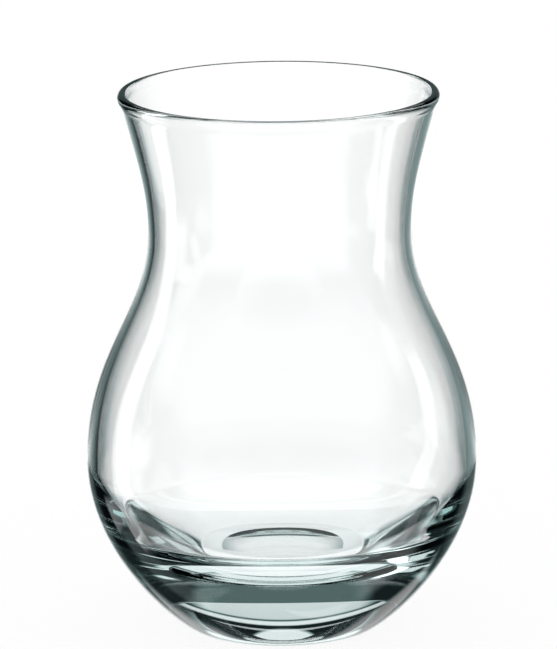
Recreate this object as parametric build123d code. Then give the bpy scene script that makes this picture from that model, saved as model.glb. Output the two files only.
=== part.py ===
from build123d import *
import os
from math import atan2, cos, degrees, radians, sin

# A clear glass vase for forcing a hyacinth bulb: a thick base, a round bulb that holds the water,
# a waist that the flower bulb sits above, and a flared neck with a rounded lip.
# It is one piece of glass, turned about +Z. Sizes are in millimetres, and the origin is at the
# middle of the resting ring, on the table.

# Outside of the glass
HEIGHT = 130.0          # table to the top of the lip
BULB_RADIUS = 46.6      # widest ring of the bulb
BULB_HEIGHT = 40.6      # height of that ring
WAIST_RADIUS = 31.4     # narrowest ring
WAIST_HEIGHT = 95.6     # height of that ring
RIM_RADIUS = 38.2       # widest ring of the lip
NECK_FLARE = 15.4       # degrees that the neck leans out just under the lip

# Foot and the hollow under it
FOOT_RADIUS = 22.0      # outer edge of the flat resting ring
FOOT_ROUND = 1.5        # radius that turns the ring up into the body
FOOT_SLOPE = 28.8       # degrees from the table at which the body leaves the foot
PUNT_RADIUS = 16.5      # inner edge of the flat resting ring
PUNT_DEPTH = 1.2        # height of the hollow at its middle
PUNT_ROUND = 0.8        # radius that turns the ring up into the hollow

# Inside of the glass
BULB_WALL = 2.4         # wall at the widest ring
FLOOR_DEPTH = 14.8      # from the bulb's widest ring down to the edge of the dished floor
FLOOR_DISH = 7.0        # from that edge down to the middle of the floor
FLOOR_INSET = 5.4       # from the wall at the bulb's widest ring in to that edge
FLOOR_CORNER = 3.5      # radius that turns the floor up into the wall
FLOOR_LEAN = 31.9       # degrees from the table at which the floor meets that corner
WALL_LEAN = 63.0        # degrees from the table at which the wall leaves it
WAIST_WALL = 1.7        # wall at the waist
NECK_WALL = 2.1         # wall just under the lip

# Lip, a bead that stands a little proud of the neck
LIP_THICKNESS = 2.4     # across the bead at its widest ring
LIP_DROP = 1.2          # from the top of the lip down to that ring
LIP_SHOULDER = 3.9      # from the top of the lip down to where the neck's wall ends
LIP_PROUD = 1.0         # how far the bead stands out from the end of the neck's wall

# How full each curve is: the length of its handle as a share of the height that the curve climbs
FOOT_FULLNESS = 0.18
BULB_FULLNESS_BELOW = 0.505
BULB_FULLNESS_ABOVE = 0.487
WAIST_FULLNESS_BELOW = 0.347
WAIST_FULLNESS_ABOVE = 0.32
NECK_FULLNESS = 0.53
BOWL_FULLNESS = 0.35
FLOOR_FULLNESS = 0.42    # of the floor's flat middle, as a share of its radius
SHOULDER_FULLNESS = 0.4
ROUND_FULLNESS = 0.5523  # the share that makes a quarter of an ellipse

UPRIGHT = (0.0, 1.0)
NECK_LEAN = (sin(radians(NECK_FLARE)), cos(radians(NECK_FLARE)))
BODY_LEAN = (cos(radians(FOOT_SLOPE)), sin(radians(FOOT_SLOPE)))
DISH_LEAN = (cos(radians(FLOOR_LEAN)), sin(radians(FLOOR_LEAN)))
BOWL_LEAN = (cos(radians(WALL_LEAN)), sin(radians(WALL_LEAN)))
FLOOR_HEIGHT = BULB_HEIGHT - FLOOR_DEPTH - FLOOR_DISH


def along(point, direction, length):
    """A point moved a length along a direction, both as (radius, height)."""
    return (point[0] + length * direction[0], point[1] + length * direction[1])


def bow(start, leaving, start_handle, end, arriving, end_handle):
    """A curve that leaves its start and arrives at its end along given directions."""
    return Bezier(start, along(start, leaving, start_handle), along(end, arriving, -end_handle), end)


def quarter(start, leaving, end, arriving):
    """A quarter of an ellipse between two points whose directions are upright and level."""
    reach = abs(end[0] - start[0])
    climb = abs(end[1] - start[1])
    lengths = (reach, climb) if abs(leaving[0]) > abs(leaving[1]) else (climb, reach)
    return bow(start, leaving, ROUND_FULLNESS * lengths[0], end, arriving, ROUND_FULLNESS * lengths[1])


def turn(middle, radius, start_angle, sweep):
    """A circular arc about a middle point, by its start and sweep in degrees."""
    return CenterArc(middle, radius, start_angle, sweep)


def underside():
    """Hollow, rounded inner edge, flat resting ring and rounded outer edge, from the axis out."""
    lean = 2.0 * atan2(PUNT_DEPTH, PUNT_RADIUS)
    hollow_radius = PUNT_RADIUS / sin(lean) - PUNT_ROUND
    hollow = turn((0.0, PUNT_DEPTH - hollow_radius), hollow_radius, 90.0, -degrees(lean))
    inner_edge = turn((PUNT_RADIUS, PUNT_ROUND), PUNT_ROUND, 270.0 - degrees(lean), degrees(lean))
    ring = Line((PUNT_RADIUS, 0.0), (FOOT_RADIUS, 0.0))
    outer_edge = turn((FOOT_RADIUS, FOOT_ROUND), FOOT_ROUND, 270.0, FOOT_SLOPE)
    return [hollow, inner_edge, ring, outer_edge]


def outside():
    """Body from the foot to the bulb's widest ring, the waist and the end of the neck's wall."""
    foot = (FOOT_RADIUS + FOOT_ROUND * BODY_LEAN[1], FOOT_ROUND * (1.0 - BODY_LEAN[0]))
    bulb = (BULB_RADIUS, BULB_HEIGHT)
    waist = (WAIST_RADIUS, WAIST_HEIGHT)
    neck = (RIM_RADIUS - LIP_PROUD, HEIGHT - LIP_SHOULDER)
    climb = BULB_HEIGHT - foot[1]
    lower = bow(foot, BODY_LEAN, FOOT_FULLNESS * climb, bulb, UPRIGHT, BULB_FULLNESS_BELOW * climb)
    return [lower] + upper_wall(bulb, waist, neck)


def upper_wall(bulb, waist, neck):
    """The two curves from the bulb's widest ring to the waist and from there to the neck's end."""
    drawn_in = waist[1] - bulb[1]
    flared = neck[1] - waist[1]
    shoulder = bow(bulb, UPRIGHT, BULB_FULLNESS_ABOVE * drawn_in,
                   waist, UPRIGHT, WAIST_FULLNESS_BELOW * drawn_in)
    flare = bow(waist, UPRIGHT, WAIST_FULLNESS_ABOVE * flared,
                neck, NECK_LEAN, NECK_FULLNESS * flared)
    return [shoulder, flare]


def lip():
    """The bead, from the outside of the neck's wall over the top to the inside of it."""
    shoulder_height = HEIGHT - LIP_SHOULDER
    ring_height = HEIGHT - LIP_DROP
    handle = SHOULDER_FULLNESS * (LIP_SHOULDER - LIP_DROP)
    outer_wall = (RIM_RADIUS - LIP_PROUD, shoulder_height)
    outer_ring = (RIM_RADIUS, ring_height)
    top = (RIM_RADIUS - LIP_THICKNESS / 2.0, HEIGHT)
    inner_ring = (RIM_RADIUS - LIP_THICKNESS, ring_height)
    inner_wall = (RIM_RADIUS - LIP_PROUD - NECK_WALL, shoulder_height)
    inwards = (-1.0, 0.0)
    downwards = (0.0, -1.0)
    return [
        bow(outer_wall, NECK_LEAN, handle, outer_ring, UPRIGHT, handle),
        quarter(outer_ring, UPRIGHT, top, inwards),
        quarter(top, inwards, inner_ring, downwards),
        bow(inner_wall, NECK_LEAN, handle, inner_ring, UPRIGHT, handle),
    ]


def dished_floor():
    """The floor, flat in the middle, and the corner that turns it up into the wall, and where that ends."""
    edge = (BULB_RADIUS - BULB_WALL - FLOOR_INSET, BULB_HEIGHT - FLOOR_DEPTH)
    level = (FLOOR_FULLNESS * edge[0], FLOOR_HEIGHT)
    foot_of_edge = along(edge, DISH_LEAN, -FLOOR_DISH / DISH_LEAN[1])
    dish = Bezier((0.0, FLOOR_HEIGHT), level, foot_of_edge, edge)
    middle = along(edge, (-DISH_LEAN[1], DISH_LEAN[0]), FLOOR_CORNER)
    corner = turn(middle, FLOOR_CORNER, 270.0 + FLOOR_LEAN, WALL_LEAN - FLOOR_LEAN)
    return [dish, corner], along(middle, (BOWL_LEAN[1], -BOWL_LEAN[0]), FLOOR_CORNER)


def inside():
    """Floor, bowl of the bulb, waist and neck, from the axis up to the lip."""
    floor, foot_of_wall = dished_floor()
    bulb = (BULB_RADIUS - BULB_WALL, BULB_HEIGHT)
    waist = (WAIST_RADIUS - WAIST_WALL, WAIST_HEIGHT)
    neck = (RIM_RADIUS - LIP_PROUD - NECK_WALL, HEIGHT - LIP_SHOULDER)
    handle = BOWL_FULLNESS * (BULB_HEIGHT - foot_of_wall[1])
    bowl = bow(foot_of_wall, BOWL_LEAN, handle, bulb, UPRIGHT, handle)
    return floor + [bowl] + upper_wall(bulb, waist, neck)


def glass_vase():
    """The vase: its half section, turned once round the axis."""
    middle = Line((0.0, PUNT_DEPTH), (0.0, FLOOR_HEIGHT))
    section = make_face(underside() + outside() + lip() + inside() + [middle])
    return revolve(Plane.XZ * section, Axis.Z)


os.makedirs("parts", exist_ok=True)
export_step(glass_vase(), "parts/glass_vase.step")
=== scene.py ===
"""Looks of a clear glass vase for forcing a hyacinth bulb.

The vase is one piece of glass, turned about +Z: a thick base, a round bulb for the water, a waist that the
flower bulb rests on and a flared neck with a rounded lip. Its section repeats the named sizes of the part's
source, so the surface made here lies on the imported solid, only finer. The rest of the file is the studio:
a pale floor, soft light that glass can show, and the photograph's camera.
"""

import logging
import math
from dataclasses import dataclass, field
from enum import Enum

import bpy
import numpy as np
from mathutils import Euler, Matrix, Vector


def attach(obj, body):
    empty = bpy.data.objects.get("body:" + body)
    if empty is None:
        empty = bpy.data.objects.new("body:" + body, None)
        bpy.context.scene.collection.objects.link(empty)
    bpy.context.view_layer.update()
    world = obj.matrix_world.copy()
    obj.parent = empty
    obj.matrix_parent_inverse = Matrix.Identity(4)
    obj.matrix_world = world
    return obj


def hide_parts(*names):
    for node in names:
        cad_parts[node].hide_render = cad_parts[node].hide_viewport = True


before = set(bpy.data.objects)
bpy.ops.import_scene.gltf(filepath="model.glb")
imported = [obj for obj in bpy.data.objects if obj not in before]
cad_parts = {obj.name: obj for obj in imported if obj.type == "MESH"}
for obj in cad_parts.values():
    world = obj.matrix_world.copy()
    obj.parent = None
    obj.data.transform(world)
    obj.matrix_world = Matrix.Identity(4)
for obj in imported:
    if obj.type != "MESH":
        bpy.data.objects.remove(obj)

log = logging.getLogger("vase")

MM = 0.001                # the section is written in millimetres, as the part's source is
SAME_POINT = 1e-6         # samples of the section that are closer than this are one point
QUARTER_TURN = math.pi / 2.0
HALF_TURN_DEGREES = 180.0
FRAME_WIDTH = 557         # the photograph's frame, in pixels
FRAME_HEIGHT = 649
LIGHT_BOUNCES = 24        # a ray crosses the thick base many times before it leaves it
GLOSSY_BOUNCES = 16
GLASS_BOUNCES = 20
NO_BOUNCES = 0.5          # a ray's count of bounces under this is none
WHITE = (1.0, 1.0, 1.0, 1.0)

Point = tuple[float, float]
Colour = tuple[float, float, float, float]
Socket = bpy.types.NodeSocket
Tree = bpy.types.NodeTree


class Facing(Enum):
    """Directions in the half section, as (radius, height)."""

    UP = (0.0, 1.0)
    DOWN = (0.0, -1.0)
    OUT = (1.0, 0.0)
    IN = (-1.0, 0.0)


class Ray(Enum):
    """Names of the Light Path outputs that the studio tells apart."""

    CAMERA = "Is Camera Ray"
    GLOSSY = "Is Glossy Ray"
    TRANSMISSION = "Is Transmission Ray"
    MATT_DEPTH = "Diffuse Depth"


def along(point: Point, direction: Point, length: float) -> Point:
    """A point moved a length along a direction."""
    return (point[0] + length * direction[0], point[1] + length * direction[1])


def bow(start: Point, leaving: Point, start_handle: float,
        end: Point, arriving: Point, end_handle: float, count: int) -> np.ndarray:
    """Samples a cubic curve that leaves its start and arrives at its end along given directions.

    The formula is Bernstein's: (1-t)^3 A + 3t(1-t)^2 B + 3t^2(1-t) C + t^3 D, for t from 0 to 1.

    Args:
        start: First point, as (radius, height).
        leaving: Direction in which the curve leaves it.
        start_handle: Length of the first handle.
        end: Last point.
        arriving: Direction in which the curve arrives there.
        end_handle: Length of the last handle.
        count: Number of samples, both ends included.

    Returns:
        The samples, one (radius, height) row each.
    """
    a, d = np.array(start), np.array(end)
    b, c = np.array(along(start, leaving, start_handle)), np.array(along(end, arriving, -end_handle))
    t = np.linspace(0.0, 1.0, count)[:, None]
    s = 1.0 - t
    return s**3 * a + 3.0 * t * s**2 * b + 3.0 * t**2 * s * c + t**3 * d


def turn(middle: Point, radius: float, start_angle: float, sweep: float, count: int) -> np.ndarray:
    """Samples a circular arc: middle + radius (cos a, sin a) for angles a in radians.

    Args:
        middle: The arc's middle, as (radius, height).
        radius: Its radius.
        start_angle: Angle of its first sample.
        sweep: Angle from there to its last sample.
        count: Number of samples, both ends included.

    Returns:
        The samples, one (radius, height) row each.
    """
    a = start_angle + np.linspace(0.0, sweep, count)
    return np.array(middle) + radius * np.stack([np.cos(a), np.sin(a)], axis=1)


def math_node(tree: Tree, operation: str, *values: Socket | float) -> Socket:
    """Adds a Math node.

    Args:
        tree: The nodes that it joins.
        operation: Its operation.
        values: Sockets or numbers for its inputs, in turn.

    Returns:
        The node's result.
    """
    node = tree.nodes.new("ShaderNodeMath")
    node.operation = operation
    for slot, value in zip(node.inputs, values):
        if isinstance(value, Socket):
            tree.links.new(value, slot)
        else:
            slot.default_value = value
    return node.outputs["Value"]


def colour_mix(tree: Tree, share: Socket) -> tuple[Socket, Socket, Socket]:
    """Adds a Mix node for two colours.

    Args:
        tree: The nodes that it joins.
        share: Share of the second colour.

    Returns:
        The sockets of the first colour, the second colour and the mixed one.
    """
    node = tree.nodes.new("ShaderNodeMix")
    node.data_type = "RGBA"
    tree.links.new(share, node.inputs["Factor"])
    first, second = (socket for socket in node.inputs if socket.type == "RGBA")
    mixed = next(socket for socket in node.outputs if socket.type == "RGBA")
    return first, second, mixed


@dataclass(frozen=True)
class Fineness:
    """How many samples each curve of the section gets."""

    hollow: int = 16
    hollow_edge: int = 7
    foot_edge: int = 8
    body: int = 44
    shoulder: int = 30
    flare: int = 18
    bead_outside: int = 8
    bead_top: int = 9
    bead_inside: int = 7
    bowl: int = 24
    floor_corner: int = 12
    floor_dish: int = 34


@dataclass
class VaseSection:
    """The half section of the glass, with the part's own named sizes in millimetres and degrees.

    A fullness is the length of a curve's handle as a share of the height that the curve climbs.
    """

    height: float = 130.0           # table to the top of the lip
    bulb_radius: float = 46.6       # widest ring of the bulb
    bulb_height: float = 40.6       # height of that ring
    waist_radius: float = 31.4      # narrowest ring
    waist_height: float = 95.6      # height of that ring
    rim_radius: float = 38.2        # widest ring of the lip
    neck_flare: float = 15.4        # degrees that the neck leans out just under the lip
    foot_radius: float = 22.0       # outer edge of the flat resting ring
    foot_round: float = 1.5         # radius that turns the ring up into the body
    foot_slope: float = 28.8        # degrees from the table at which the body leaves the foot
    punt_radius: float = 16.5       # inner edge of the flat resting ring
    punt_depth: float = 1.2         # height of the hollow at its middle
    punt_round: float = 0.8         # radius that turns the ring up into the hollow
    bulb_wall: float = 2.4          # wall at the widest ring
    floor_depth: float = 14.8       # from the bulb's widest ring down to the edge of the dished floor
    floor_dish: float = 7.0         # from that edge down to the middle of the floor
    floor_inset: float = 5.4        # from the wall at the bulb's widest ring in to that edge
    floor_corner: float = 3.5       # radius that turns the floor up into the wall
    floor_lean: float = 31.9        # degrees from the table at which the floor meets that corner
    wall_lean: float = 63.0         # degrees from the table at which the wall leaves it
    waist_wall: float = 1.7         # wall at the waist
    neck_wall: float = 2.1          # wall just under the lip
    lip_thickness: float = 2.4      # across the bead at its widest ring
    lip_drop: float = 1.2           # from the top of the lip down to that ring
    lip_shoulder: float = 3.9       # from the top of the lip down to where the neck's wall ends
    lip_proud: float = 1.0          # how far the bead stands out from the end of the neck's wall
    foot_fullness: float = 0.18
    bulb_fullness_below: float = 0.505
    bulb_fullness_above: float = 0.487
    waist_fullness_below: float = 0.347
    waist_fullness_above: float = 0.32
    neck_fullness: float = 0.53
    bowl_fullness: float = 0.35
    floor_fullness: float = 0.42    # of the floor's flat middle, as a share of its radius
    shoulder_fullness: float = 0.4
    round_fullness: float = 0.5523  # the share that makes a quarter of an ellipse
    fineness: Fineness = field(default_factory=Fineness)

    @property
    def neck_lean(self) -> Point:
        """Direction of the neck just under the lip."""
        return (math.sin(math.radians(self.neck_flare)), math.cos(math.radians(self.neck_flare)))

    @property
    def body_lean(self) -> Point:
        """Direction in which the body leaves the foot."""
        return (math.cos(math.radians(self.foot_slope)), math.sin(math.radians(self.foot_slope)))

    def quarter(self, start: Point, leaving: Point, end: Point, arriving: Point) -> np.ndarray:
        """Samples a quarter of an ellipse, as a cubic curve, over the top of the bead.

        Args:
            start: First point, as (radius, height).
            leaving: Direction in which the curve leaves it, upright or level.
            end: Last point.
            arriving: Direction in which the curve arrives there, level or upright.

        Returns:
            The samples.
        """
        reach, climb = abs(end[0] - start[0]), abs(end[1] - start[1])
        first, last = (reach, climb) if abs(leaving[0]) > abs(leaving[1]) else (climb, reach)
        return bow(start, leaving, self.round_fullness * first,
                   end, arriving, self.round_fullness * last, self.fineness.bead_top)

    def underside(self) -> list[np.ndarray]:
        """Samples the hollow, its rounded edge and the foot's rounded edge.

        The hollow is an arc, and the flat resting ring is the straight run between the two edges. An arc that
        climbs a depth over a radius leans by twice the angle whose tangent is depth over radius.

        Returns:
            The curves, from the axis out.
        """
        lean = 2.0 * math.atan2(self.punt_depth, self.punt_radius)
        radius = self.punt_radius / math.sin(lean) - self.punt_round
        slope = math.radians(self.foot_slope)
        straight_down = 3.0 * QUARTER_TURN
        return [
            turn((0.0, self.punt_depth - radius), radius, QUARTER_TURN, -lean, self.fineness.hollow),
            turn((self.punt_radius, self.punt_round), self.punt_round,
                 straight_down - lean, lean, self.fineness.hollow_edge),
            turn((self.foot_radius, self.foot_round), self.foot_round,
                 straight_down, slope, self.fineness.foot_edge),
        ]

    def outside(self) -> list[np.ndarray]:
        """Samples the outer wall, from the foot to the end of the neck's wall.

        Returns:
            The body below the bulb's widest ring, then the two curves above it.
        """
        lean = self.body_lean
        foot = (self.foot_radius + self.foot_round * lean[1], self.foot_round * (1.0 - lean[0]))
        bulb = (self.bulb_radius, self.bulb_height)
        waist = (self.waist_radius, self.waist_height)
        neck = (self.rim_radius - self.lip_proud, self.height - self.lip_shoulder)
        climb = bulb[1] - foot[1]
        body = bow(foot, lean, self.foot_fullness * climb,
                   bulb, Facing.UP.value, self.bulb_fullness_below * climb, self.fineness.body)
        return [body, *self.upper_wall(bulb, waist, neck)]

    def upper_wall(self, bulb: Point, waist: Point, neck: Point) -> list[np.ndarray]:
        """Samples one face of the wall above the bulb's widest ring.

        Args:
            bulb: Where it starts, as (radius, height).
            waist: The narrowest ring.
            neck: The end of the neck's wall.

        Returns:
            The curve to the waist, and the curve from there to the neck's end.
        """
        drawn_in, flared = waist[1] - bulb[1], neck[1] - waist[1]
        return [
            bow(bulb, Facing.UP.value, self.bulb_fullness_above * drawn_in,
                waist, Facing.UP.value, self.waist_fullness_below * drawn_in, self.fineness.shoulder),
            bow(waist, Facing.UP.value, self.waist_fullness_above * flared,
                neck, self.neck_lean, self.neck_fullness * flared, self.fineness.flare),
        ]

    def lip(self) -> list[np.ndarray]:
        """Samples the bead.

        Returns:
            The curves, from the outside of the neck's wall over the top to the inside of it.
        """
        shoulder, ring = self.height - self.lip_shoulder, self.height - self.lip_drop
        handle = self.shoulder_fullness * (self.lip_shoulder - self.lip_drop)
        outer_wall, outer_ring = (self.rim_radius - self.lip_proud, shoulder), (self.rim_radius, ring)
        top = (self.rim_radius - self.lip_thickness / 2.0, self.height)
        inner_ring = (self.rim_radius - self.lip_thickness, ring)
        inner_wall = (self.rim_radius - self.lip_proud - self.neck_wall, shoulder)
        up, down, inwards = Facing.UP.value, Facing.DOWN.value, Facing.IN.value
        return [
            bow(outer_wall, self.neck_lean, handle, outer_ring, up, handle, self.fineness.bead_outside),
            self.quarter(outer_ring, up, top, inwards),
            self.quarter(top, inwards, inner_ring, down),
            bow(inner_wall, self.neck_lean, handle, inner_ring, up, handle, self.fineness.bead_inside)[::-1],
        ]

    def dished_floor(self) -> tuple[np.ndarray, np.ndarray, Point]:
        """Samples the cavity's floor, from the axis out: flat in the middle, dished, then a tight corner.

        Returns:
            The dish, the corner, and the point where the wall starts.
        """
        edge = (self.bulb_radius - self.bulb_wall - self.floor_inset, self.bulb_height - self.floor_depth)
        lean, wall = math.radians(self.floor_lean), math.radians(self.wall_lean)
        dish = bow((0.0, edge[1] - self.floor_dish), Facing.OUT.value, self.floor_fullness * edge[0],
                   edge, (math.cos(lean), math.sin(lean)), self.floor_dish / math.sin(lean),
                   self.fineness.floor_dish)
        middle = along(edge, (-math.sin(lean), math.cos(lean)), self.floor_corner)
        corner = turn(middle, self.floor_corner, 3.0 * QUARTER_TURN + lean, wall - lean,
                      self.fineness.floor_corner)
        return dish, corner, along(middle, (math.sin(wall), -math.cos(wall)), self.floor_corner)

    def inside(self) -> list[np.ndarray]:
        """Samples the cavity.

        Returns:
            The neck, the shoulder, the bowl and the floor, from the lip down to the axis.
        """
        dish, corner, foot_of_wall = self.dished_floor()
        bulb = (self.bulb_radius - self.bulb_wall, self.bulb_height)
        waist = (self.waist_radius - self.waist_wall, self.waist_height)
        neck = (self.rim_radius - self.lip_proud - self.neck_wall, self.height - self.lip_shoulder)
        shoulder, flare = self.upper_wall(bulb, waist, neck)
        wall = math.radians(self.wall_lean)
        handle = self.bowl_fullness * (bulb[1] - foot_of_wall[1])
        bowl = bow(foot_of_wall, (math.cos(wall), math.sin(wall)), handle,
                   bulb, Facing.UP.value, handle, self.fineness.bowl)
        return [flare[::-1], shoulder[::-1], bowl[::-1], corner[::-1], dish[::-1]]

    def outline(self) -> np.ndarray:
        """Joins the curves and drops the points that two of them share.

        Returns:
            The outline in metres, from the axis under the base to the axis on the cavity's floor.
        """
        points = np.concatenate([*self.underside(), *self.outside(), *self.lip(), *self.inside()])
        apart = np.ones(len(points), bool)
        apart[1:] = np.hypot(*np.diff(points, axis=0).T) > SAME_POINT
        return points[apart] * MM


@dataclass(frozen=True)
class Grain:
    """Noise on the vase's own coordinates.

    Attributes:
        per_metre: Marks in a metre across the wall.
        detail: How many finer layers of marks lie on the first.
        upright: Marks up the wall for each mark across it. Under 1 they are drawn out along the height.
    """

    per_metre: float
    detail: float
    upright: float

    def add(self, tree: Tree, place: Socket) -> Socket:
        """Adds the noise to a material.

        Args:
            tree: The material's nodes.
            place: The vase's own coordinates.

        Returns:
            The noise.
        """
        stretch = tree.nodes.new("ShaderNodeMapping")
        upwards = self.per_metre * self.upright
        stretch.inputs["Scale"].default_value = (self.per_metre, self.per_metre, upwards)
        tree.links.new(place, stretch.inputs["Vector"])
        noise = tree.nodes.new("ShaderNodeTexNoise")
        noise.inputs["Scale"].default_value = 1.0
        noise.inputs["Detail"].default_value = self.detail
        tree.links.new(stretch.outputs["Vector"], noise.inputs["Vector"])
        return noise.outputs["Fac"]


@dataclass(frozen=True)
class GlassFinish:
    """Clear glass with a faint green cast, fire-polished, with the slight ripple of a blown wall."""

    ior: float = 1.52
    cast: Colour = (0.48, 0.70, 0.69, 1.0)          # colour that thick glass takes on
    density: float = 7.0                            # a metre absorbs this times what the cast lacks of white
    pale: Colour = WHITE
    streak: Colour = (0.985, 0.996, 0.992, 1.0)
    streaks: Grain = Grain(per_metre=34.0, detail=2.0, upright=0.35)
    ripples: Grain = Grain(per_metre=55.0, detail=0.0, upright=0.4)
    ripple_depth: float = 0.00002
    ripple_strength: float = 0.35
    smudges: Grain = Grain(per_metre=90.0, detail=3.0, upright=1.0)
    smudge_starts: float = 0.5                      # noise at which a smudge begins
    smudge_full: float = 0.8                        # noise at which it is as dull as it gets
    polish: float = 0.0                             # roughness of clean glass
    smudge: float = 0.012                           # roughness of a full smudge

    def tone(self, tree: Tree, place: Socket) -> Socket:
        """Adds faint streaks, drawn out up the wall.

        Args:
            tree: The material's nodes.
            place: The vase's own coordinates.

        Returns:
            The colour of the surface.
        """
        pale, streak, mixed = colour_mix(tree, self.streaks.add(tree, place))
        pale.default_value = self.pale
        streak.default_value = self.streak
        return mixed

    def haze(self, tree: Tree, place: Socket) -> Socket:
        """Adds smudges, as hands leave them.

        Args:
            tree: The material's nodes.
            place: The vase's own coordinates.

        Returns:
            The roughness of the surface.
        """
        node = tree.nodes.new("ShaderNodeMapRange")
        node.inputs["From Min"].default_value = self.smudge_starts
        node.inputs["From Max"].default_value = self.smudge_full
        node.inputs["To Min"].default_value = self.polish
        node.inputs["To Max"].default_value = self.smudge
        tree.links.new(self.smudges.add(tree, place), node.inputs["Value"])
        return node.outputs["Result"]

    def ripple(self, tree: Tree, place: Socket) -> Socket:
        """Adds the shallow waves of a blown wall.

        Args:
            tree: The material's nodes.
            place: The vase's own coordinates.

        Returns:
            The normal of the surface.
        """
        node = tree.nodes.new("ShaderNodeBump")
        node.inputs["Strength"].default_value = self.ripple_strength
        node.inputs["Distance"].default_value = self.ripple_depth
        tree.links.new(self.ripples.add(tree, place), node.inputs["Height"])
        return node.outputs["Normal"]

    def material(self) -> bpy.types.Material:
        """Builds the glass: a transmitting surface over an absorbing body.

        Returns:
            The material.
        """
        made = bpy.data.materials.new("clear_glass")
        made.use_nodes = True
        tree = made.node_tree
        tree.nodes.clear()
        place = tree.nodes.new("ShaderNodeTexCoord").outputs["Object"]
        surface = tree.nodes.new("ShaderNodeBsdfPrincipled")
        tree.links.new(self.tone(tree, place), surface.inputs["Base Color"])
        tree.links.new(self.haze(tree, place), surface.inputs["Roughness"])
        tree.links.new(self.ripple(tree, place), surface.inputs["Normal"])
        surface.inputs["Metallic"].default_value = 0.0
        surface.inputs["IOR"].default_value = self.ior
        surface.inputs["Transmission Weight"].default_value = 1.0
        body = tree.nodes.new("ShaderNodeVolumeAbsorption")
        body.inputs["Color"].default_value = self.cast
        body.inputs["Density"].default_value = self.density
        out = tree.nodes.new("ShaderNodeOutputMaterial")
        tree.links.new(surface.outputs["BSDF"], out.inputs["Surface"])
        tree.links.new(body.outputs["Volume"], out.inputs["Volume"])
        return made


@dataclass
class Vase:
    """The one piece of glass."""

    section: VaseSection = field(default_factory=VaseSection)
    finish: GlassFinish = field(default_factory=GlassFinish)
    around: int = 352

    def surface(self) -> tuple[np.ndarray, list[list[int]]]:
        """Turns the outline about +Z.

        Each ring is (r cos a, r sin a, z) for the outline's r and z. The two ends on the axis are single
        points that close the surface with a fan of triangles.

        Returns:
            The corners, one row each, and the faces as lists of corners.
        """
        outline = self.section.outline()
        rings = outline[1:-1]
        a = np.arange(self.around) * (2.0 * math.pi / self.around)
        grid = np.stack([
            rings[:, :1] * np.cos(a),
            rings[:, :1] * np.sin(a),
            np.broadcast_to(rings[:, 1:], (len(rings), self.around)),
        ], axis=2).reshape(-1, 3)
        under = np.array([[0.0, 0.0, outline[0, 1]]])
        floor = np.array([[0.0, 0.0, outline[-1, 1]]])
        corners = np.concatenate([grid, under, floor])
        index = np.arange(len(grid)).reshape(len(rings), self.around)
        beside = np.roll(index, -1, axis=1)
        quads = np.stack([index[:-1], beside[:-1], beside[1:], index[1:]], axis=2).reshape(-1, 4)
        below = np.stack([np.full(self.around, len(grid)), beside[0], index[0]], axis=1)
        above = np.stack([np.full(self.around, len(grid) + 1), index[-1], beside[-1]], axis=1)
        return corners, quads.tolist() + below.tolist() + above.tolist()

    def build(self) -> bpy.types.Object:
        """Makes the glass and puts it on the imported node.

        Returns:
            The vase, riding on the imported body.
        """
        corners, faces = self.surface()
        mesh = bpy.data.meshes.new("clear_glass_vase")
        mesh.from_pydata(corners.tolist(), [], faces)
        mesh.polygons.foreach_set("use_smooth", np.ones(len(mesh.polygons), bool))
        mesh.update()
        piece = bpy.data.objects.new("clear_glass_vase", mesh)
        bpy.context.scene.collection.objects.link(piece)
        mesh.materials.append(self.finish.material())
        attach(piece, "root")
        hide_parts("glass_vase")
        return piece


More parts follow.
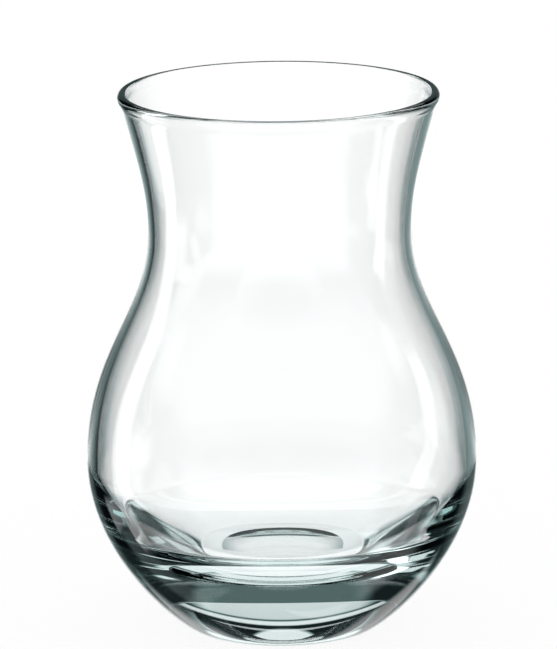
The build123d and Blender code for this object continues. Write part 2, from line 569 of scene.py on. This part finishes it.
@dataclass(frozen=True)
class Panel:
    """A soft-edged panel of light, by the directions in which the glass sees it.

    Angles are in degrees. Azimuth 0 is behind the vase as the photograph sees it, and 90 is to the left.

    Attributes:
        name: What it stands for in a studio.
        azimuth: Its middle.
        half_width: From there to each side.
        side_edge: How soft the sides are.
        low: Elevation of its lower end.
        high: Elevation of its upper end.
        end_edge: How soft the ends are.
        level: How bright it is, where 1 is white.
    """

    name: str
    azimuth: float
    half_width: float
    side_edge: float
    low: float
    high: float
    end_edge: float
    level: float

    @staticmethod
    def fall(tree: Tree, inside: Socket, edge: Socket) -> Socket:
        """Adds the smooth fall of light over a panel's edge.

        Args:
            tree: The panel's nodes.
            inside: Angle from the edge inwards.
            edge: How soft the edge is.

        Returns:
            1 where that angle is over the softness, 0 where it is under minus the softness.
        """
        node = tree.nodes.new("ShaderNodeMapRange")
        node.interpolation_type = "SMOOTHSTEP"
        tree.links.new(inside, node.inputs["Value"])
        tree.links.new(math_node(tree, "MULTIPLY", edge, -1.0), node.inputs["From Min"])
        tree.links.new(edge, node.inputs["From Max"])
        return node.outputs["Result"]

    @staticmethod
    def group() -> bpy.types.ShaderNodeTree:
        """Builds the node group that turns a direction's two angles into one panel's light.

        Returns:
            The node group, which all panels share.
        """
        made = bpy.data.node_groups.new("soft_panel", "ShaderNodeTree")
        angles = ("Azimuth", "Elevation", "Centre", "Half Width", "Side Edge", "Low", "High", "End Edge")
        for name in (*angles, "Level"):
            made.interface.new_socket(name, in_out="INPUT", socket_type="NodeSocketFloat")
        made.interface.new_socket("Light", in_out="OUTPUT", socket_type="NodeSocketFloat")
        given, out = made.nodes.new("NodeGroupInput").outputs, made.nodes.new("NodeGroupOutput")
        aside = math_node(made, "SUBTRACT", given["Azimuth"], given["Centre"])
        aside = math_node(made, "WRAP", aside, HALF_TURN_DEGREES, -HALF_TURN_DEGREES)
        within = math_node(made, "SUBTRACT", given["Half Width"], math_node(made, "ABSOLUTE", aside))
        above = math_node(made, "SUBTRACT", given["Elevation"], given["Low"])
        below = math_node(made, "SUBTRACT", given["High"], given["Elevation"])
        across = Panel.fall(made, within, given["Side Edge"])
        up = math_node(made, "MULTIPLY", Panel.fall(made, above, given["End Edge"]),
                       Panel.fall(made, below, given["End Edge"]))
        light = math_node(made, "MULTIPLY", math_node(made, "MULTIPLY", across, up), given["Level"])
        made.links.new(light, out.inputs["Light"])
        return made

    def add(self, tree: Tree, group: bpy.types.ShaderNodeTree, azimuth: Socket, elevation: Socket) -> Socket:
        """Adds the panel to the studio.

        Args:
            tree: The studio's nodes.
            group: The node group that all panels share.
            azimuth: Azimuth of the direction in which a ray looks.
            elevation: Its elevation.

        Returns:
            The light that the ray sees there.
        """
        node = tree.nodes.new("ShaderNodeGroup")
        node.node_tree = group
        node.label = self.name
        tree.links.new(azimuth, node.inputs["Azimuth"])
        tree.links.new(elevation, node.inputs["Elevation"])
        node.inputs["Centre"].default_value = self.azimuth
        node.inputs["Half Width"].default_value = self.half_width
        node.inputs["Side Edge"].default_value = self.side_edge
        node.inputs["Low"].default_value = self.low
        node.inputs["High"].default_value = self.high
        node.inputs["End Edge"].default_value = self.end_edge
        node.inputs["Level"].default_value = self.level
        return node.outputs["Light"]


@dataclass
class Studio:
    """A pale floor and the light that the glass shows.

    Each panel's numbers are its azimuth, half width, side edge, low, high, end edge and level.
    """

    panels: tuple[Panel, ...] = (
        # behind the vase, from the table up
        Panel("table_behind", 0.0, 14.5, 7.0, -50.0, 1.5, 1.0, 1.12),
        Panel("wall_behind", 0.0, 24.0, 3.0, 0.0, 25.0, 2.0, 0.16),
        Panel("softbox_behind", 0.0, 31.0, 6.0, 26.0, 37.5, 1.0, 0.92),
        Panel("softbox_behind_top", 0.0, 44.0, 6.0, 39.0, 43.5, 1.0, 1.25),
        Panel("boom_behind", 0.0, 34.0, 4.0, 50.0, 71.0, 1.0, 1.2),
        Panel("ceiling", 0.0, 190.0, 2.0, 76.0, 110.0, 1.0, 1.1),
        # lamps at the sides
        Panel("softbox_right", -74.0, 18.0, 4.0, 19.0, 50.0, 4.0, 1.15),
        Panel("softbox_right_front", -116.0, 14.0, 4.0, 44.0, 60.0, 3.0, 1.0),
        Panel("softbox_left", 80.0, 16.0, 4.0, 22.0, 50.0, 4.0, 1.05),
        Panel("strip_left", 68.0, 7.0, 1.5, -38.0, 36.0, 4.0, 2.2),
        Panel("strip_right", -89.0, 4.0, 1.5, -40.0, -23.0, 3.0, 1.0),
        # the table, round the vase and under it
        Panel("table_right", -100.0, 36.5, 8.0, -62.0, -40.5, 4.0, 0.9),
        Panel("table_left", 112.0, 12.0, 4.0, -28.0, -19.0, 3.0, 0.6),
        Panel("table_front", 180.0, 62.0, 8.0, -60.0, -3.0, 8.0, 0.9),
        Panel("table_under", 0.0, 26.0, 6.0, -52.0, -31.5, 3.0, 1.12),
        Panel("table_under_right", -24.0, 11.0, 4.0, -52.0, -32.0, 3.0, 1.08),
        Panel("table_foot_right", -55.0, 12.0, 4.0, -100.0, -66.0, 5.0, 1.0),
        Panel("table_far_left", 58.0, 11.0, 4.0, -62.0, -28.0, 5.0, 0.35),
        # cards that stand on the table
        Panel("card_right", -25.0, 12.0, 6.0, -26.0, 3.0, 6.0, 0.24),
        Panel("card_left", 19.5, 8.0, 6.0, -28.0, 0.0, 6.0, 0.22),
        Panel("far_card_left", 53.0, 9.0, 2.0, -29.0, -20.0, 1.5, 0.9),
        Panel("side_card_left", 85.0, 9.0, 2.0, -7.0, 2.0, 1.5, 1.05),
        Panel("low_card_left", 82.0, 7.0, 2.0, -20.0, -5.0, 2.0, 1.05),
    )
    surround: float = 0.015         # light where no panel is
    shade_cast: float = 0.35        # share of the red that the darkest shade lacks
    floor_reach: float = 12.0       # in metres, as the drop is
    floor_drop: float = 0.0002      # keeps the floor just clear of the resting ring
    floor_white: float = 0.9        # share of plain white in the floor that the camera sees

    @staticmethod
    def direction(tree: Tree) -> tuple[Socket, Socket]:
        """Adds the angles of the direction in which a ray looks.

        The azimuth's tangent is minus x over y, and the elevation's sine is z.

        Args:
            tree: The studio's nodes.

        Returns:
            The azimuth and the elevation, in degrees.
        """
        where = tree.nodes.new("ShaderNodeTexCoord")
        parts = tree.nodes.new("ShaderNodeSeparateXYZ")
        tree.links.new(where.outputs["Generated"], parts.inputs["Vector"])
        leftwards = math_node(tree, "MULTIPLY", parts.outputs["X"], -1.0)
        azimuth = math_node(tree, "ARCTAN2", leftwards, parts.outputs["Y"])
        elevation = math_node(tree, "ARCSINE", parts.outputs["Z"])
        return math_node(tree, "DEGREES", azimuth), math_node(tree, "DEGREES", elevation)

    def panel_light(self, tree: Tree) -> Socket:
        """Adds all panels on the dark surround.

        Args:
            tree: The studio's nodes.

        Returns:
            The colour that the glass sees: the brightest panel, with less red the darker it is.
        """
        azimuth, elevation = self.direction(tree)
        group = Panel.group()
        brightest, *others = (panel.add(tree, group, azimuth, elevation) for panel in self.panels)
        for light in others:
            brightest = math_node(tree, "MAXIMUM", brightest, light)
        level = math_node(tree, "ADD", brightest, self.surround)
        shade = math_node(tree, "MAXIMUM", math_node(tree, "SUBTRACT", 1.0, level), 0.0)
        red_kept = math_node(tree, "SUBTRACT", 1.0, math_node(tree, "MULTIPLY", shade, self.shade_cast))
        colour = tree.nodes.new("ShaderNodeCombineXYZ")
        tree.links.new(math_node(tree, "MULTIPLY", level, red_kept), colour.inputs["X"])
        tree.links.new(level, colour.inputs["Y"])
        tree.links.new(level, colour.inputs["Z"])
        return colour.outputs["Vector"]

    @staticmethod
    def glass_share(tree: Tree) -> Socket:
        """Tells the rays that come from the glass.

        Args:
            tree: The studio's nodes.

        Returns:
            1 for a ray that the glass bent or mirrored, 0 for the camera's own and those of matt surfaces.
        """
        rays = tree.nodes.new("ShaderNodeLightPath").outputs
        bent = math_node(tree, "MAXIMUM", rays[Ray.GLOSSY.value], rays[Ray.TRANSMISSION.value])
        unseen = math_node(tree, "SUBTRACT", 1.0, rays[Ray.CAMERA.value])
        off_matt = math_node(tree, "GREATER_THAN", rays[Ray.MATT_DEPTH.value], NO_BOUNCES)
        off_glass = math_node(tree, "SUBTRACT", 1.0, off_matt)
        return math_node(tree, "MULTIPLY", math_node(tree, "MULTIPLY", bent, unseen), off_glass)

    def light(self) -> None:
        """Sets the world: white to the camera and to matt surfaces, and the panels to the glass."""
        world = bpy.data.worlds.new("studio")
        bpy.context.scene.world = world
        world.use_nodes = True
        tree = world.node_tree
        tree.nodes.clear()
        plain, panels, seen = colour_mix(tree, self.glass_share(tree))
        plain.default_value = WHITE
        tree.links.new(self.panel_light(tree), panels)
        background = tree.nodes.new("ShaderNodeBackground")
        tree.links.new(seen, background.inputs["Color"])
        out = tree.nodes.new("ShaderNodeOutputWorld")
        tree.links.new(background.outputs["Background"], out.inputs["Surface"])

    def floor_paint(self) -> bpy.types.Material:
        """Builds the floor's finish: matt white that takes the shadow, under plain white for the camera.

        Returns:
            The material.
        """
        paint = bpy.data.materials.new("pale_floor")
        paint.use_nodes = True
        tree = paint.node_tree
        tree.nodes.clear()
        matt = tree.nodes.new("ShaderNodeBsdfDiffuse")
        matt.inputs["Color"].default_value = WHITE
        plain = tree.nodes.new("ShaderNodeEmission")
        rays = tree.nodes.new("ShaderNodeLightPath")
        both = tree.nodes.new("ShaderNodeMixShader")
        share, first, second = both.inputs
        tree.links.new(math_node(tree, "MULTIPLY", rays.outputs[Ray.CAMERA.value], self.floor_white), share)
        tree.links.new(matt.outputs["BSDF"], first)
        tree.links.new(plain.outputs["Emission"], second)
        out = tree.nodes.new("ShaderNodeOutputMaterial")
        tree.links.new(both.outputs["Shader"], out.inputs["Surface"])
        return paint

    def floor(self) -> bpy.types.Object:
        """Lays the pale floor just under the resting ring.

        Returns:
            The floor, which isn't part of the vase.
        """
        r, z = self.floor_reach, -self.floor_drop
        mesh = bpy.data.meshes.new("floor")
        mesh.from_pydata([(-r, -r, z), (r, -r, z), (r, r, z), (-r, r, z)], [], [(0, 1, 2, 3)])
        mesh.materials.append(self.floor_paint())
        floor = bpy.data.objects.new("floor", mesh)
        bpy.context.scene.collection.objects.link(floor)
        floor.visible_transmission = False
        floor.visible_glossy = False
        return floor


@dataclass
class Viewpoint:
    """The photograph's camera: where it stands, how long its lens is and how it is aimed."""

    distance: float = 1.6714                        # from the vase's middle, in metres
    elevation: float = 13.31                        # degrees above that middle
    target_height: float = 0.065                    # height of that middle
    target_pixel: Point = (280.945, 357.988)        # where it falls in the photograph
    focal_pixels: float = 7009.1
    roll: float = -0.544                            # degrees about the line of sight
    sensor_width: float = 36.0                      # in millimetres
    nearest: float = 0.01                           # what it shows starts here, in metres
    farthest: float = 100.0

    def place(self) -> bpy.types.Object:
        """Makes the scene's camera.

        Returns:
            The camera, aimed so that the vase's middle falls on its pixel of the photograph.
        """
        lens = bpy.data.cameras.new("camera")
        lens.sensor_width = self.sensor_width
        lens.lens = self.sensor_width * self.focal_pixels / max(FRAME_WIDTH, FRAME_HEIGHT)
        lens.clip_start, lens.clip_end = self.nearest, self.farthest
        camera = bpy.data.objects.new("camera", lens)
        bpy.context.scene.collection.objects.link(camera)
        e = math.radians(self.elevation)
        back = Vector((0.0, -math.cos(e), math.sin(e)))
        stand = Vector((0.0, 0.0, self.target_height)) + back * self.distance
        facing = (-back).to_track_quat("-Z", "Y").to_matrix()
        across = math.atan((self.target_pixel[0] - FRAME_WIDTH / 2.0) / self.focal_pixels)
        down = math.atan((self.target_pixel[1] - FRAME_HEIGHT / 2.0) / self.focal_pixels)
        turned = facing @ Matrix.Rotation(math.radians(self.roll), 3, "Z")
        aimed = turned @ Euler((down, across, 0.0)).to_matrix()
        camera.matrix_world = Matrix.Translation(stand) @ aimed.to_4x4()
        bpy.context.scene.camera = camera
        return camera


def main() -> None:
    """Builds the vase, the studio and the camera."""
    logging.basicConfig(level=logging.INFO, format="%(message)s")
    scene = bpy.context.scene
    scene.view_settings.view_transform = "Standard"
    scene.cycles.max_bounces = LIGHT_BOUNCES
    scene.cycles.glossy_bounces = GLOSSY_BOUNCES
    scene.cycles.transmission_bounces = GLASS_BOUNCES
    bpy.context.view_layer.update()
    vase = Vase().build()
    log.info("%s: %d faces", vase.name, len(vase.data.polygons))
    studio = Studio()
    studio.light()
    log.info("%s laid", studio.floor().name)
    log.info("%s placed", Viewpoint().place().name)


if __name__ == "__main__":
    main()
